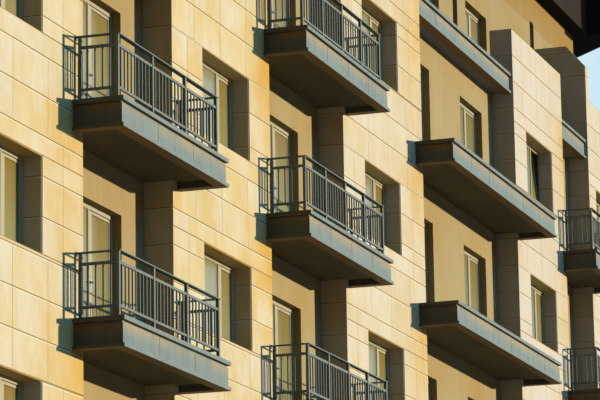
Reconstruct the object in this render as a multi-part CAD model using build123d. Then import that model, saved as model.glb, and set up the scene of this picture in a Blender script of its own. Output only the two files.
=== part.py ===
from build123d import *
from math import ceil
import os

# Apartment block with stone-clad piers and recessed loggias.
# Facade coordinates, millimetres: x from the left end, y inwards from the
# pier fronts, z up from the ground. Every saved piece is then shifted so
# that the origin is the middle of the overall box at the ground.

# Storeys
storey_height = 3000
cap_line_ground = 580          # balcony cap line of storey 0 above the ground
top_level = 6                  # storey that is set back behind a terrace
floor_drop = 150               # floor finish below the balcony cap line
slab_thickness = 250

# Plan
pier_widths = [4000, 4350, 4733, 4014, 5554]
loggia_widths = [3455, 3847, 6713, 2344]
building_depth = 12000
recess_depth = 446             # pier front to the loggia back wall
wall_lap = 300                 # loggia wall behind the piers on both sides
loggia_wall = 360
end_wall = 300
rear_wall = 360
top_setback = 1281             # pier front to the top storey's front wall
top_end_setback = 1280         # right end of the building to the top storey's end wall
top_wall = 300

# Openings
window_width = 2100
window_sill = 681              # above the cap line
window_head = 2011
pier_window_offsets = [511, 1284, 1182, 932, 620]
door_head = 2015
door_widths = [1800, 1800, 1800, 1400]
door_offsets = [765, 969, 358, 350]
wide_loggia = loggia_widths.index(max(loggia_widths))
small_window_width = 1595
small_window_offset = 4282
top_window_width = 1640
top_window_offset = 1172       # from the pier's left edge
slot_width = 340
slot_offset = 200
slot_head = 2950
slot_sill = 900

# Window and door units
pier_reveal = 260
loggia_reveal = 133
top_reveal = 150
rear_reveal = 120
frame_depth = 80
frame_face = 70
glass_thickness = 24

# Balconies
balcony_projection = 723
overhang_left = [341, 213, 430, 235]
overhang_right = [295, 261, 256, 250]
fascia_height = 425
fascia_thickness = 140
lip_reach = 37
cap_thickness = 60
shadow_gap_height = 32         # recess under the cap
shadow_gap_depth = 20
lip_thickness = 50
slab_rise = 105                # balcony soffit above the drip lip
terrace_edge_inset = 62        # terrace fascia behind the pier fronts

# Railings
railed_columns = [0, 1, 3]
rail_inset = 85                # railing behind the fascia's faces
rail_height = 912              # top of the top rail above the cap
top_rail_width = 80
top_rail_thickness = 15
rail_depth = 30
second_rail_height = 770
second_rail_face = 40
bottom_rail_height = 176
bottom_rail_face = 36
post_width = 50
post_depth = 45
post_spacing = 1150
rear_post_gap = 50             # rear post clear of the wall
baluster_size = 20
baluster_spacing = 130

# Terrace parapets and the divider wall
parapet_height = 939           # above the terrace cap line
fin_thickness = 310
fin_height = 2189
fin_front_height = 1692
fin_rake_depth = 418

# Roof
soffit_height = 3600           # above the terrace cap line
roof_edge = 1000
eaves_projection = 350
roof_end_overhang = 840
canopy_front = 200             # front of the end canopy behind the pier fronts
canopy_chamfer = 1580
roof_rise = 500

# Derived places
pier_count = len(pier_widths)
slotted_piers = range(1, pier_count)
building_length = sum(pier_widths) + sum(loggia_widths)
overall_length = building_length + roof_end_overhang
front_reach = balcony_projection + lip_reach
overall_depth = front_reach + building_depth + eaves_projection
rear_face = building_depth - rear_wall
loggia_back = recess_depth + loggia_wall
terrace_cap = cap_line_ground + top_level * storey_height
parapet_top = terrace_cap + parapet_height
soffit = terrace_cap + soffit_height
terrace_floor_top = terrace_cap - floor_drop
top_wall_inner = top_setback + top_wall
top_storey_end = building_length - top_end_setback


def pier_left(index):
    return sum(pier_widths[:index]) + sum(loggia_widths[:index])


def pier_right(index):
    return pier_left(index) + pier_widths[index]


def cap_line(level):
    return cap_line_ground + level * storey_height


def floor_top(level):
    return cap_line(level) - floor_drop


def block(x0, x1, y0, y1, z0, z1):
    box = Box(x1 - x0, y1 - y0, z1 - z0, align=(Align.MIN, Align.MIN, Align.MIN))
    return Pos(x0, y0, z0) * box


def side_plate(points, x0, thickness):
    """A plate that stands across the building, from an outline in depth and height."""
    plane = Plane(origin=(x0, 0, 0), x_dir=(0, 1, 0), z_dir=(1, 0, 0))
    outline = make_face(Polyline(*points, close=True))
    return extrude(plane * outline, thickness)


def save(name, solids):
    middle = Pos(-overall_length / 2, front_reach - overall_depth / 2, 0)
    shape = Compound(children=[middle * solid for solid in solids])
    export_step(shape, f"parts/{name}.step")


# Openings as (x0, x1, z0, z1)

def pier_window(index, level):
    x0 = pier_left(index) + pier_window_offsets[index]
    return (x0, x0 + window_width, cap_line(level) + window_sill, cap_line(level) + window_head)


def loggia_door(index, level):
    x0 = pier_right(index) + door_offsets[index]
    return (x0, x0 + door_widths[index], floor_top(level), cap_line(level) + door_head)


def loggia_window(level):
    x0 = pier_right(wide_loggia) + small_window_offset
    return (x0, x0 + small_window_width, cap_line(level) + window_sill, cap_line(level) + door_head)


def top_window(index):
    x0 = pier_left(index) + top_window_offset
    return (x0, x0 + top_window_width, terrace_cap + window_sill, terrace_cap + door_head)


def top_door(index):
    x0 = pier_right(index) + door_offsets[index]
    return (x0, x0 + door_widths[index], terrace_floor_top, terrace_cap + door_head)


def slot_opening(index):
    x0 = pier_left(index) + slot_offset
    return (x0, x0 + slot_width, terrace_cap + slot_sill, terrace_cap + slot_head)


def loggia_openings(index, level):
    openings = [loggia_door(index, level)]
    if index == wide_loggia:
        openings.append(loggia_window(level))
    return openings


def top_openings():
    openings = [top_window(i) for i in range(pier_count)]
    openings += [top_door(i) for i in range(pier_count - 1)]
    openings.append(loggia_window(top_level))
    return openings


def slot_openings():
    return [slot_opening(index) for index in slotted_piers]


def cut_openings(wall, openings, y0, y1):
    for x0, x1, z0, z1 in openings:
        wall -= block(x0, x1, y0, y1, z0, z1)
    return wall


# Walls

def pier_front(index):
    wall = block(pier_left(index), pier_right(index), 0, recess_depth, 0, parapet_top)
    openings = [pier_window(index, level) for level in range(top_level)]
    return cut_openings(wall, openings, 0, recess_depth)


def loggia_back_wall(index):
    x0 = pier_right(index) - wall_lap
    x1 = pier_left(index + 1) + wall_lap
    wall = block(x0, x1, recess_depth, loggia_back, floor_top(0), terrace_floor_top - slab_thickness)
    openings = []
    for level in range(top_level):
        openings += loggia_openings(index, level)
    return cut_openings(wall, openings, recess_depth, loggia_back)


def top_storey_wall():
    wall = block(end_wall, top_storey_end, top_setback, top_wall_inner, terrace_floor_top, soffit)
    return cut_openings(wall, top_openings() + slot_openings(), top_setback, top_wall_inner)


def rear_windows():
    openings = [top_window(index) for index in range(pier_count)]
    for level in range(top_level):
        openings += [pier_window(index, level) for index in range(pier_count)]
    return openings


def rear_building_wall():
    wall = block(0, building_length, rear_face, building_depth, 0, parapet_top)
    wall += block(0, top_storey_end, rear_face, building_depth, parapet_top, soffit)
    return cut_openings(wall, rear_windows(), rear_face, building_depth)


def party_wall():
    """Plain left end wall, which steps back at the terrace."""
    outline = [
        (recess_depth, 0),
        (rear_face, 0),
        (rear_face, soffit),
        (top_setback, soffit),
        (top_setback, parapet_top),
        (recess_depth, parapet_top),
    ]
    return side_plate(outline, 0, end_wall)


def right_end_wall():
    """Right end wall, whose top is the parapet of the side terrace."""
    return block(building_length - end_wall, building_length, recess_depth, rear_face, 0, parapet_top)


def top_end_wall():
    x0 = top_storey_end - top_wall
    return block(x0, top_storey_end, top_wall_inner, rear_face, terrace_floor_top, soffit)


def terrace_divider():
    x0 = pier_left(pier_count - 1)
    outline = [
        (0, parapet_top),
        (0, terrace_cap + fin_front_height),
        (fin_rake_depth, terrace_cap + fin_height),
        (top_setback, terrace_cap + fin_height),
        (top_setback, terrace_floor_top),
        (recess_depth, terrace_floor_top),
        (recess_depth, parapet_top),
    ]
    return side_plate(outline, x0, fin_thickness)


# Floors

def loggia_tabs(front, back, z0, z1):
    return [block(pier_right(i), pier_left(i + 1), front, back, z0, z1) for i in range(pier_count - 1)]


def slab_behind_piers(z0, z1):
    """A slab that fills the plan between the end walls, behind the pier fronts."""
    return block(end_wall, building_length - end_wall, recess_depth, rear_face, z0, z1)


def ground_floor():
    slab = slab_behind_piers(0, floor_top(0))
    for tab in loggia_tabs(terrace_edge_inset, recess_depth, 0, floor_top(0)):
        slab += tab
    return slab


def floor_slab(level):
    z0 = floor_top(level) - slab_thickness
    slab = slab_behind_piers(z0, floor_top(level))
    for index in range(pier_count - 1):
        x0 = pier_right(index) - wall_lap
        x1 = pier_left(index + 1) + wall_lap
        slab -= block(x0, x1, recess_depth, loggia_back, z0, floor_top(level))
    return slab


def terrace_floor():
    z0 = terrace_floor_top - slab_thickness
    slab = slab_behind_piers(z0, terrace_floor_top)
    front = terrace_edge_inset + fascia_thickness
    for tab in loggia_tabs(front, recess_depth, z0, terrace_floor_top):
        slab += tab
    return slab


# Balconies

def fascia_section():
    """Fascia board with its cap, shadow gap and drip lip, outwards and up from the cap line."""
    gap_bottom = -cap_thickness - shadow_gap_height
    return [
        (-fascia_thickness, -fascia_height),
        (lip_reach, -fascia_height),
        (lip_reach, lip_thickness - fascia_height),
        (0, lip_thickness - fascia_height),
        (0, gap_bottom),
        (-shadow_gap_depth, gap_bottom),
        (-shadow_gap_depth, -cap_thickness),
        (lip_reach, -cap_thickness),
        (lip_reach, 0),
        (-fascia_thickness, 0),
    ]


def balcony_ends(index):
    return pier_right(index) - overhang_left[index], pier_left(index + 1) + overhang_right[index]


def balcony_fascia(index, level):
    x0, x1 = balcony_ends(index)
    z = cap_line(level)
    path = Polyline((x0, 0, z), (x0, -balcony_projection, z), (x1, -balcony_projection, z), (x1, 0, z))
    plane = Plane(origin=(x0, 0, z), x_dir=(-1, 0, 0), z_dir=(0, 1, 0))
    section = plane * make_face(Polyline(*fascia_section(), close=True))
    return sweep(section, path=path, transition=Transition.RIGHT)


def balcony_slab(index, level):
    x0, x1 = balcony_ends(index)
    z0 = cap_line(level) - fascia_height + slab_rise
    z1 = floor_top(level)
    front = fascia_thickness - balcony_projection
    slab = block(x0 + fascia_thickness, x1 - fascia_thickness, front, 0, z0, z1)
    return slab + block(pier_right(index), pier_left(index + 1), 0, recess_depth, z0, z1)


def terrace_fascia(index):
    x0 = pier_right(index)
    plane = Plane(origin=(x0, terrace_edge_inset, terrace_cap), x_dir=(0, 1, 0), z_dir=(1, 0, 0))
    points = [(-out, up) for out, up in fascia_section()]
    return extrude(plane * make_face(Polyline(*points, close=True)), loggia_widths[index])


# Railings

def rail_ends(index):
    """Outer faces of the railing's two sides."""
    x0, x1 = balcony_ends(index)
    return x0 + rail_inset, x1 - rail_inset


def centred_block(x, y, wide, deep, z0, z1):
    return block(x - wide / 2, x + wide / 2, y - deep / 2, y + deep / 2, z0, z1)


def post_places(x0, x1):
    """Middles of the front posts between the railing's outer faces."""
    bays = max(1, round((x1 - x0 - post_width) / post_spacing))
    pitch = (x1 - x0 - post_width) / bays
    return [x0 + post_width / 2 + pitch * i for i in range(bays + 1)]


def rail_line():
    """Middle line of the front railing, outwards of the pier fronts."""
    return rail_inset + post_depth / 2 - balcony_projection


def rear_post_middle():
    return -rear_post_gap - post_width / 2


def front_rail(x0, x1, deep, face, top):
    return centred_block((x0 + x1) / 2, rail_line(), x1 - x0, deep, top - face, top)


def railing_front(index, level):
    x0, x1 = rail_ends(index)
    z = cap_line(level)
    panel = front_rail(x0, x1, top_rail_width, top_rail_thickness, z + rail_height)
    panel += front_rail(x0, x1, rail_depth, second_rail_face, z + second_rail_height)
    panel += front_rail(x0, x1, rail_depth, bottom_rail_face, z + bottom_rail_height)
    for x in post_places(x0, x1):
        panel += centred_block(x, rail_line(), post_width, post_depth, z, z + rail_height)
    return panel


def railing_side(x, level):
    """Side of the railing along x, from the front rails back to the wall."""
    z = cap_line(level)
    rear = rear_post_middle()
    post_back = rail_line() + post_depth / 2
    rail_back = rail_line() + top_rail_width / 2
    top = z + rail_height
    panel = block(x - top_rail_width / 2, x + top_rail_width / 2, rail_back, 0, top - top_rail_thickness, top)
    for height, face in ((second_rail_height, second_rail_face), (bottom_rail_height, bottom_rail_face)):
        panel += block(x - rail_depth / 2, x + rail_depth / 2, post_back, rear, z + height - face, z + height)
    return panel + centred_block(x, rear, post_depth, post_width, z, top)


def side_places(index):
    """Middle lines of the railing's two sides."""
    x0, x1 = rail_ends(index)
    return x0 + post_width / 2, x1 - post_width / 2


def baluster_places(start, end):
    count = ceil((end - start) / baluster_spacing)
    pitch = (end - start) / count
    return [start + pitch * i for i in range(1, count)]


def balusters(index, level):
    z0 = cap_line(level) + bottom_rail_height
    z1 = cap_line(level) + second_rail_height - second_rail_face
    size = baluster_size
    bars = []
    posts = post_places(*rail_ends(index))
    for left, right in zip(posts, posts[1:]):
        for x in baluster_places(left, right):
            bars.append(centred_block(x, rail_line(), size, size, z0, z1))
    for x in side_places(index):
        for y in baluster_places(rail_line(), rear_post_middle()):
            bars.append(centred_block(x, y, size, size, z0, z1))
    return bars


# Windows and doors

def pane(opening, y0):
    """A pane that fills an opening, in the middle of a frame's depth."""
    x0, x1, z0, z1 = opening
    y = y0 + (frame_depth - glass_thickness) / 2
    return block(x0, x1, y, y + glass_thickness, z0, z1)


def inside_frame(opening):
    x0, x1, z0, z1 = opening
    return (x0 + frame_face, x1 - frame_face, z0 + frame_face, z1 - frame_face)


def unit_frame(opening, y0):
    x0, x1, z0, z1 = opening
    ring = block(x0, x1, y0, y0 + frame_depth, z0, z1)
    return cut_openings(ring, [inside_frame(opening)], y0, y0 + frame_depth)


def unit_glass(opening, y0):
    return pane(inside_frame(opening), y0)


# Roof

def roof_outline():
    """Eaves line seen from above, with the chamfered canopy over the right end of the terrace."""
    front = top_setback - eaves_projection
    rear = building_depth + eaves_projection
    return [
        (0, front),
        (top_storey_end, front),
        (top_storey_end, canopy_front),
        (overall_length - canopy_chamfer, canopy_front),
        (overall_length, canopy_front + canopy_chamfer),
        (overall_length, rear),
        (0, rear),
    ]


def roof_slopes():
    """Low slopes that meet at a ridge along the building, hipped at the right end."""
    front = top_setback - eaves_projection
    rear = building_depth + eaves_projection
    base = soffit + roof_edge
    middle = (front + rear) / 2
    half_span = (rear - front) / 2
    across = side_plate([(front, base), (rear, base), (middle, base + roof_rise)], 0, overall_length)
    hip = [
        (0, base),
        (overall_length, base),
        (overall_length - half_span, base + roof_rise),
        (0, base + roof_rise),
    ]
    plane = Plane(origin=(0, rear, 0), x_dir=(1, 0, 0), z_dir=(0, -1, 0))
    along = extrude(plane * make_face(Polyline(*hip, close=True)), rear - front)
    return across & along


def roof():
    eaves = make_face(Polyline(*roof_outline(), close=True))
    edge = extrude(Plane.XY.offset(soffit) * eaves, roof_edge)
    return edge + roof_slopes()


def build():
    os.makedirs("parts", exist_ok=True)
    levels = range(top_level)
    upper_levels = range(1, top_level)
    pier_plane = pier_reveal
    loggia_plane = recess_depth + loggia_reveal
    top_plane = top_setback + top_reveal
    rear_plane = building_depth - rear_reveal - frame_depth

    for i in range(pier_count):
        save(f"pier_front_{i + 1}", [pier_front(i)])
        save(f"pier_windows_{i + 1}", [unit_frame(pier_window(i, level), pier_plane) for level in levels])
    save("rear_wall", [rear_building_wall()])
    save("end_wall_left", [party_wall()])
    save("end_wall_right", [right_end_wall()])
    save("top_storey_wall", [top_storey_wall()])
    save("top_end_wall", [top_end_wall()])
    save("terrace_divider", [terrace_divider()])

    for i in range(pier_count - 1):
        units = []
        for level in levels:
            units += loggia_openings(i, level)
        save(f"loggia_wall_{i + 1}", [loggia_back_wall(i)])
        save(f"loggia_doors_{i + 1}", [unit_frame(opening, loggia_plane) for opening in units])
        save(f"balcony_slabs_{i + 1}", [balcony_slab(i, level) for level in upper_levels])
        save(f"balcony_fascias_{i + 1}", [balcony_fascia(i, level) for level in upper_levels])
    save("terrace_fascias", [terrace_fascia(i) for i in range(pier_count - 1)])

    fronts = []
    sides = []
    bars = []
    for i in railed_columns:
        for level in upper_levels:
            fronts.append(railing_front(i, level))
            sides += [railing_side(x, level) for x in side_places(i)]
            bars += balusters(i, level)
    save("railing_fronts", fronts)
    save("railing_sides", sides)
    save("balusters", bars)

    save("ground_floor", [ground_floor()])
    save("floor_slabs", [floor_slab(level) for level in upper_levels])
    save("terrace_floor", [terrace_floor()])
    save("roof", [roof()])

    save("top_window_frames", [unit_frame(opening, top_plane) for opening in top_openings()])
    save("rear_window_frames", [unit_frame(opening, rear_plane) for opening in rear_windows()])
    save("slot_panes", [pane(opening, top_plane) for opening in slot_openings()])
    glass = []
    for level in levels:
        glass += [unit_glass(pier_window(i, level), pier_plane) for i in range(pier_count)]
        for i in range(pier_count - 1):
            glass += [unit_glass(opening, loggia_plane) for opening in loggia_openings(i, level)]
    glass += [unit_glass(opening, top_plane) for opening in top_openings()]
    glass += [unit_glass(opening, rear_plane) for opening in rear_windows()]
    save("window_glass", glass)


build()
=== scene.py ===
import math
import random

import bmesh
import bpy
from bpy.props import FloatProperty, FloatVectorProperty, IntProperty, PointerProperty
from mathutils import Matrix, Vector


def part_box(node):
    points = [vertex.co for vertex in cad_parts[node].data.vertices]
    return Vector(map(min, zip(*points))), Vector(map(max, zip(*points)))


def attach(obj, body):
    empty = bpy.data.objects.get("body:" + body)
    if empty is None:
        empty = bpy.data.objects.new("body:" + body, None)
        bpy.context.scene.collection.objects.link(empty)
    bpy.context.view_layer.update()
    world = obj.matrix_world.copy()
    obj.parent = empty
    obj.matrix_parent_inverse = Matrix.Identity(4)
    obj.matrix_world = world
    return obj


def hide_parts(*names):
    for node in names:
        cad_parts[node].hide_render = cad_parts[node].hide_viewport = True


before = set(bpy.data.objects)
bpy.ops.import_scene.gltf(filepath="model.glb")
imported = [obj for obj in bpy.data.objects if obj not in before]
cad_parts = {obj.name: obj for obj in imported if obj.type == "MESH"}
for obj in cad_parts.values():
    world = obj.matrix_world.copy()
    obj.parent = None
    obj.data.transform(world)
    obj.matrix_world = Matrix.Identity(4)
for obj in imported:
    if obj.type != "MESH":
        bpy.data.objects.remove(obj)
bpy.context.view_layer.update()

bl_info = {
    "name": "Apartment block finishes",
    "version": (1, 0, 0),
    "blender": (4, 5, 0),
    "location": "3D View > Sidebar > Block",
    "description": "Stone panels, windows, balconies, roof sheets and stage of an apartment block",
    "category": "Object",
}

# All lengths are in metres
PIERS = range(1, 6)
LOGGIAS = range(1, 5)
ACROSS = Vector((1, 0, 0))
INWARDS = Vector((0, 1, 0))
UPWARDS = Vector((0, 0, 1))
WELD = 0.0002
STOREY = 3.0
CAP_LINE = 0.580       # lowest top edge of a balcony cap; the next ones follow at each storey
UPPER_BAND_HEIGHT = 21.43      # above this height the top storey's render is darker and more golden


# Settings

def metres(name, description, default):
    return FloatProperty(name=name, description=description, default=default, unit="LENGTH")


def degrees(name, description, default):
    return FloatProperty(
        name=name, description=description, default=math.radians(default), subtype="ANGLE")


def pigment(name, description, default):
    return FloatVectorProperty(
        name=name, description=description, default=default, subtype="COLOR")


class CladdingSettings(bpy.types.PropertyGroup):
    row_height: metres("Row height", "Height of one row of stone panels", 0.5471)
    first_joint: metres("First joint", "Lowest joint above the ground", 0.3710)
    panel_length: metres("Panel length", "Usual length of a stone panel", 1.16)
    thickness: metres("Thickness", "How far the panels stand proud of the wall", 0.012)
    upright_joint: metres("Upright joint", "Width of a joint between two panels of a row", 0.007)
    lower_arris: metres("Lower arris", "Extra height of the groove under a panel", 0.004)
    upper_arris: metres("Upper arris", "Extra height of the bevel on top of a panel", 0.008)
    stain_reach: metres("Stain reach", "How far stains reach from a pier's right edge", 1.9)
    shade_spread: FloatProperty(
        name="Shade spread", description="How much the panels differ in shade", default=0.5,
        min=0.0, max=1.0)
    seed: IntProperty(name="Seed", description="Which shades the panels get", default=7)


class UnitSettings(bpy.types.PropertyGroup):
    ring_face: metres("Ring face", "Visible width of the outer frame", 0.070)
    mullion: metres("Mullion", "Width of the post between two lights", 0.056)
    sash_face: metres("Sash face", "Visible width of an opening leaf's frame", 0.042)
    lock_stile: metres("Lock stile", "Width of a leaf's upright beside the mullion", 0.095)
    sash_recess: metres("Sash recess", "How far a leaf lies behind the outer frame", 0.010)
    sash_gap: metres("Sash gap", "Dark gap round an opening leaf", 0.007)
    bead_face: metres("Bead face", "Width of the bead round a fixed light", 0.012)
    gasket: metres("Gasket", "Width of the brown seal round the glass", 0.006)
    pane: metres("Pane", "Thickness of the glazing", 0.024)
    pane_recess: metres("Pane recess", "How far the glazing lies behind the outer frame", 0.018)
    door_base: metres("Door base", "Height of a door leaf's bottom rail", 0.120)
    door_height: metres("Door height", "An opening taller than this is a door", 1.70)
    blind_distance: metres(
        "Blind distance", "Gap between the frame and the blind behind it", 0.060)
    sill_reach: metres("Sill reach", "How far a rear sill stands out of the wall", 0.040)
    tilt: degrees("Tilt", "Angle of the leaf that stands tilted open", 5.5)
    seed: IntProperty(name="Seed", description="How far the blinds are drawn", default=11)


class TrimSettings(bpy.types.PropertyGroup):
    post_pitch: metres("Post pitch", "Usual distance between railing posts", 1.150)
    plate: metres("Base plate", "Side of a railing post's base plate", 0.105)
    plate_thickness: metres("Plate thickness", "Thickness of a base plate", 0.008)
    fascia_sheet: metres("Fascia sheet", "Usual length of a sheet on a balcony fascia", 1.25)
    fascia_lip: metres("Fascia lip", "Reach of the fascia's cap and drip lip", 0.037)
    seam: metres("Seam", "Width of the strip that covers a sheet joint", 0.012)
    seam_proud: metres("Seam proud", "How far a cover strip stands out", 0.002)
    roof_sheet: metres("Roof sheet", "Distance between the roof's standing seams", 0.60)
    roof_seam: metres("Roof seam", "Height of a standing seam", 0.030)


class FinishSettings(bpy.types.PropertyGroup):
    stone_gold: pigment("Stone gold", "Warm stone of the left piers", (0.86, 0.735, 0.475))
    stone_pale: pigment("Stone pale", "Pale stone of the right piers", (0.81, 0.705, 0.525))
    render_tan: pigment("Loggia render", "Render of the loggia walls", (0.525, 0.395, 0.185))
    render_top: pigment("Top render", "Render of the top storey", (0.50, 0.37, 0.17))
    sheet_grey: pigment("Fascia grey", "Coated sheet of the fascias", (0.255, 0.30, 0.255))
    railing_grey: pigment("Railing grey", "Paint of the railings", (0.235, 0.25, 0.19))
    frame_cream: pigment("Frame cream", "Window and door frames", (0.56, 0.475, 0.265))
    soffit_brown: pigment("Soffit brown", "Paint of the balcony soffits", (0.26, 0.21, 0.11))
    roof_brown: pigment(
        "Roof brown", "Dark sheet of the roof edge and the roof", (0.034, 0.024, 0.014))


class StageSettings(bpy.types.PropertyGroup):
    camera_place: FloatVectorProperty(
        name="Camera place", description="Where the camera stands", subtype="XYZ", unit="LENGTH",
        default=(-56.6685, -22.5389, 1.6104))
    camera_bearing: degrees("Bearing", "From straight at the front towards the right", 71.4997)
    camera_rise: degrees("Rise", "Upward angle of the view", 12.3330)
    camera_roll: degrees("Roll", "Turn about the line of sight", -0.9317)
    lens: FloatProperty(name="Lens", description="Focal length in millimetres", default=199.497)
    sun_run: FloatVectorProperty(
        name="Sun run", description="Direction in which the main light travels",
        subtype="DIRECTION", default=(-0.73, 1.0, -0.13))
    sun_strength: FloatProperty(
        name="Sun strength", description="Strength of the main light", default=3.90)
    sun_passed_on: FloatProperty(
        name="Sun passed on", description="Share of the main light that lit surfaces pass on",
        default=0.34, min=0.0, max=1.0, subtype="FACTOR")
    floor_size: metres("Floor size", "Side of the pale floor", 400.0)


# Small tools

def settings(group):
    return getattr(bpy.context.scene, group)


def solid_boxes(node):
    """Lowest and highest corner of each separate solid in a node, from the ground up."""
    bm = bmesh.new()
    bm.from_mesh(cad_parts[node].data)
    bmesh.ops.remove_doubles(bm, verts=bm.verts[:], dist=WELD)
    left = set(bm.verts)
    boxes = []
    while left:
        stack = [left.pop()]
        group = []
        while stack:
            vert = stack.pop()
            group.append(vert.co.copy())
            for edge in vert.link_edges:
                other = edge.other_vert(vert)
                if other in left:
                    left.discard(other)
                    stack.append(other)
        boxes.append(tuple(
            Vector(end(co[axis] for co in group) for axis in range(3)) for end in (min, max)))
    bm.free()
    return sorted(boxes, key=lambda box: (round(box[0].z, 2), box[0].x))


def steps_between(start, end, usual):
    """Evenly spaced places strictly between two ends, about the usual distance apart."""
    count = max(1, round((end - start) / usual))
    return [start + (end - start) * index / count for index in range(1, count)]


def faces_of(verts):
    return {face for vert in verts for face in vert.link_faces}


def add_box(bm, low, high, material=0, turn=None):
    """A box between two corners, turned about a pivot where turn gives (pivot, matrix)."""
    low, high = Vector(low), Vector(high)
    place = Matrix.Translation((low + high) / 2) @ Matrix.Diagonal((*(high - low), 1.0))
    if turn:
        pivot, rotation = turn
        place = Matrix.Translation(pivot) @ rotation @ Matrix.Translation(-pivot) @ place
    verts = bmesh.ops.create_cube(bm, size=1.0, matrix=place)["verts"]
    for face in faces_of(verts):
        face.material_index = material
    return verts


def add_rod(bm, centre, radius, length, direction, segments=12, material=0):
    turn = direction.to_track_quat("Z", "Y").to_matrix().to_4x4()
    verts = bmesh.ops.create_cone(
        bm, cap_ends=True, cap_tris=False, segments=segments, radius1=radius, radius2=radius,
        depth=length, matrix=Matrix.Translation(centre) @ turn)["verts"]
    for face in faces_of(verts):
        face.material_index = material


def mesh_from(bm, name):
    mesh = bpy.data.meshes.new(name)
    bm.to_mesh(mesh)
    bm.free()
    return mesh


def add_object(name, data):
    made = bpy.data.objects.new(name, data)
    bpy.context.scene.collection.objects.link(made)
    return made


def make_piece(name, bm, finishes, rounding=0.0):
    """Turns a bmesh into a piece that rides on the block; rounding bevels its edges."""
    mesh = mesh_from(bm, name)
    for finish in finishes:
        mesh.materials.append(finish_of(finish))
    piece = add_object(name, mesh)
    if rounding:
        edge = piece.modifiers.new("edge", "BEVEL")
        edge.width = rounding
        edge.segments = 1
        edge.limit_method = "ANGLE"
    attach(piece, "root")
    return piece


def add_node(tree, kind, **values):
    node = tree.nodes.new(kind)
    for name, value in values.items():
        setattr(node, name, value)
    return node


def feed(socket, value):
    """Gives a socket another node's output, a number or a colour."""
    if isinstance(value, bpy.types.NodeSocket):
        socket.id_data.links.new(value, socket)
    elif isinstance(value, (int, float)):
        socket.default_value = value
    else:
        socket.default_value = (*value, 1.0)


# Materials

# Tones that a finish fades to
# painted highlight along the top of each stone panel
STONE_TOP_HIGHLIGHT = (0.98, 0.87, 0.54)
# painted highlight on the panels' top arris, in two tones
ARRIS_HIGHLIGHT_PALE, ARRIS_HIGHLIGHT_DEEP = (0.95, 0.86, 0.60), (0.80, 0.68, 0.43)
JOINT_DEEP, JOINT_DUSTY = (0.48, 0.245, 0.035), (0.60, 0.33, 0.060)
# the second is painted shade on fascia faces that look down
FASCIA_DUST, FASCIA_PAINTED_SHADE_BELOW = (0.50, 0.37, 0.19), (0.44, 0.27, 0.10)
PANE_COOL, PANE_OLIVE, PANE_CLOUD = (0.60, 0.66, 0.50), (0.50, 0.385, 0.09), (0.68, 0.66, 0.42)
BLIND_SHADE, BLIND_PALE = (0.58, 0.55, 0.40), (0.70, 0.68, 0.52)
SEAL_BROWN = (0.115, 0.070, 0.022)
# painted shade: near-black slot glass standing in for the shaded room behind it
SLOT_PAINTED_SHADE = (0.045, 0.042, 0.036)
STEEL, SILL_GREY = (0.35, 0.34, 0.32), (0.42, 0.42, 0.38)
CAST_GREY = (0.40, 0.37, 0.32)
FLOOR_SHADE, FLOOR_PALE = (0.72, 0.72, 0.71), (0.75, 0.75, 0.74)

# Dyes, which a finish multiplies its tone by
STONE_CLOUD, STONE_VEIN, STONE_LINE = (0.94, 0.79, 0.47), (0.80, 0.76, 0.68), (1.10, 1.09, 1.12)
# the last of these is painted shade on faces that look down
STONE_SHADE, STONE_STAIN, STONE_PAINTED_SHADE_BELOW = (0.86, 0.80, 0.68), (0.96, 0.71, 0.24), (0.95, 0.80, 0.52)
RENDER_CLOUD, RENDER_STREAK = (0.97, 0.84, 0.62), (0.80, 0.79, 0.76)
# the first darkens the top render's upper band; the second is painted shade on the fascias' ends
RENDER_UPPER_BAND, FASCIA_END_PAINTED_SHADE = (0.90, 0.76, 0.52), (0.60, 0.46, 0.34)
# painted shade towards a pane's head
PANE_HEAD_PAINTED_SHADE = (0.84, 0.62, 0.30)


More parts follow.
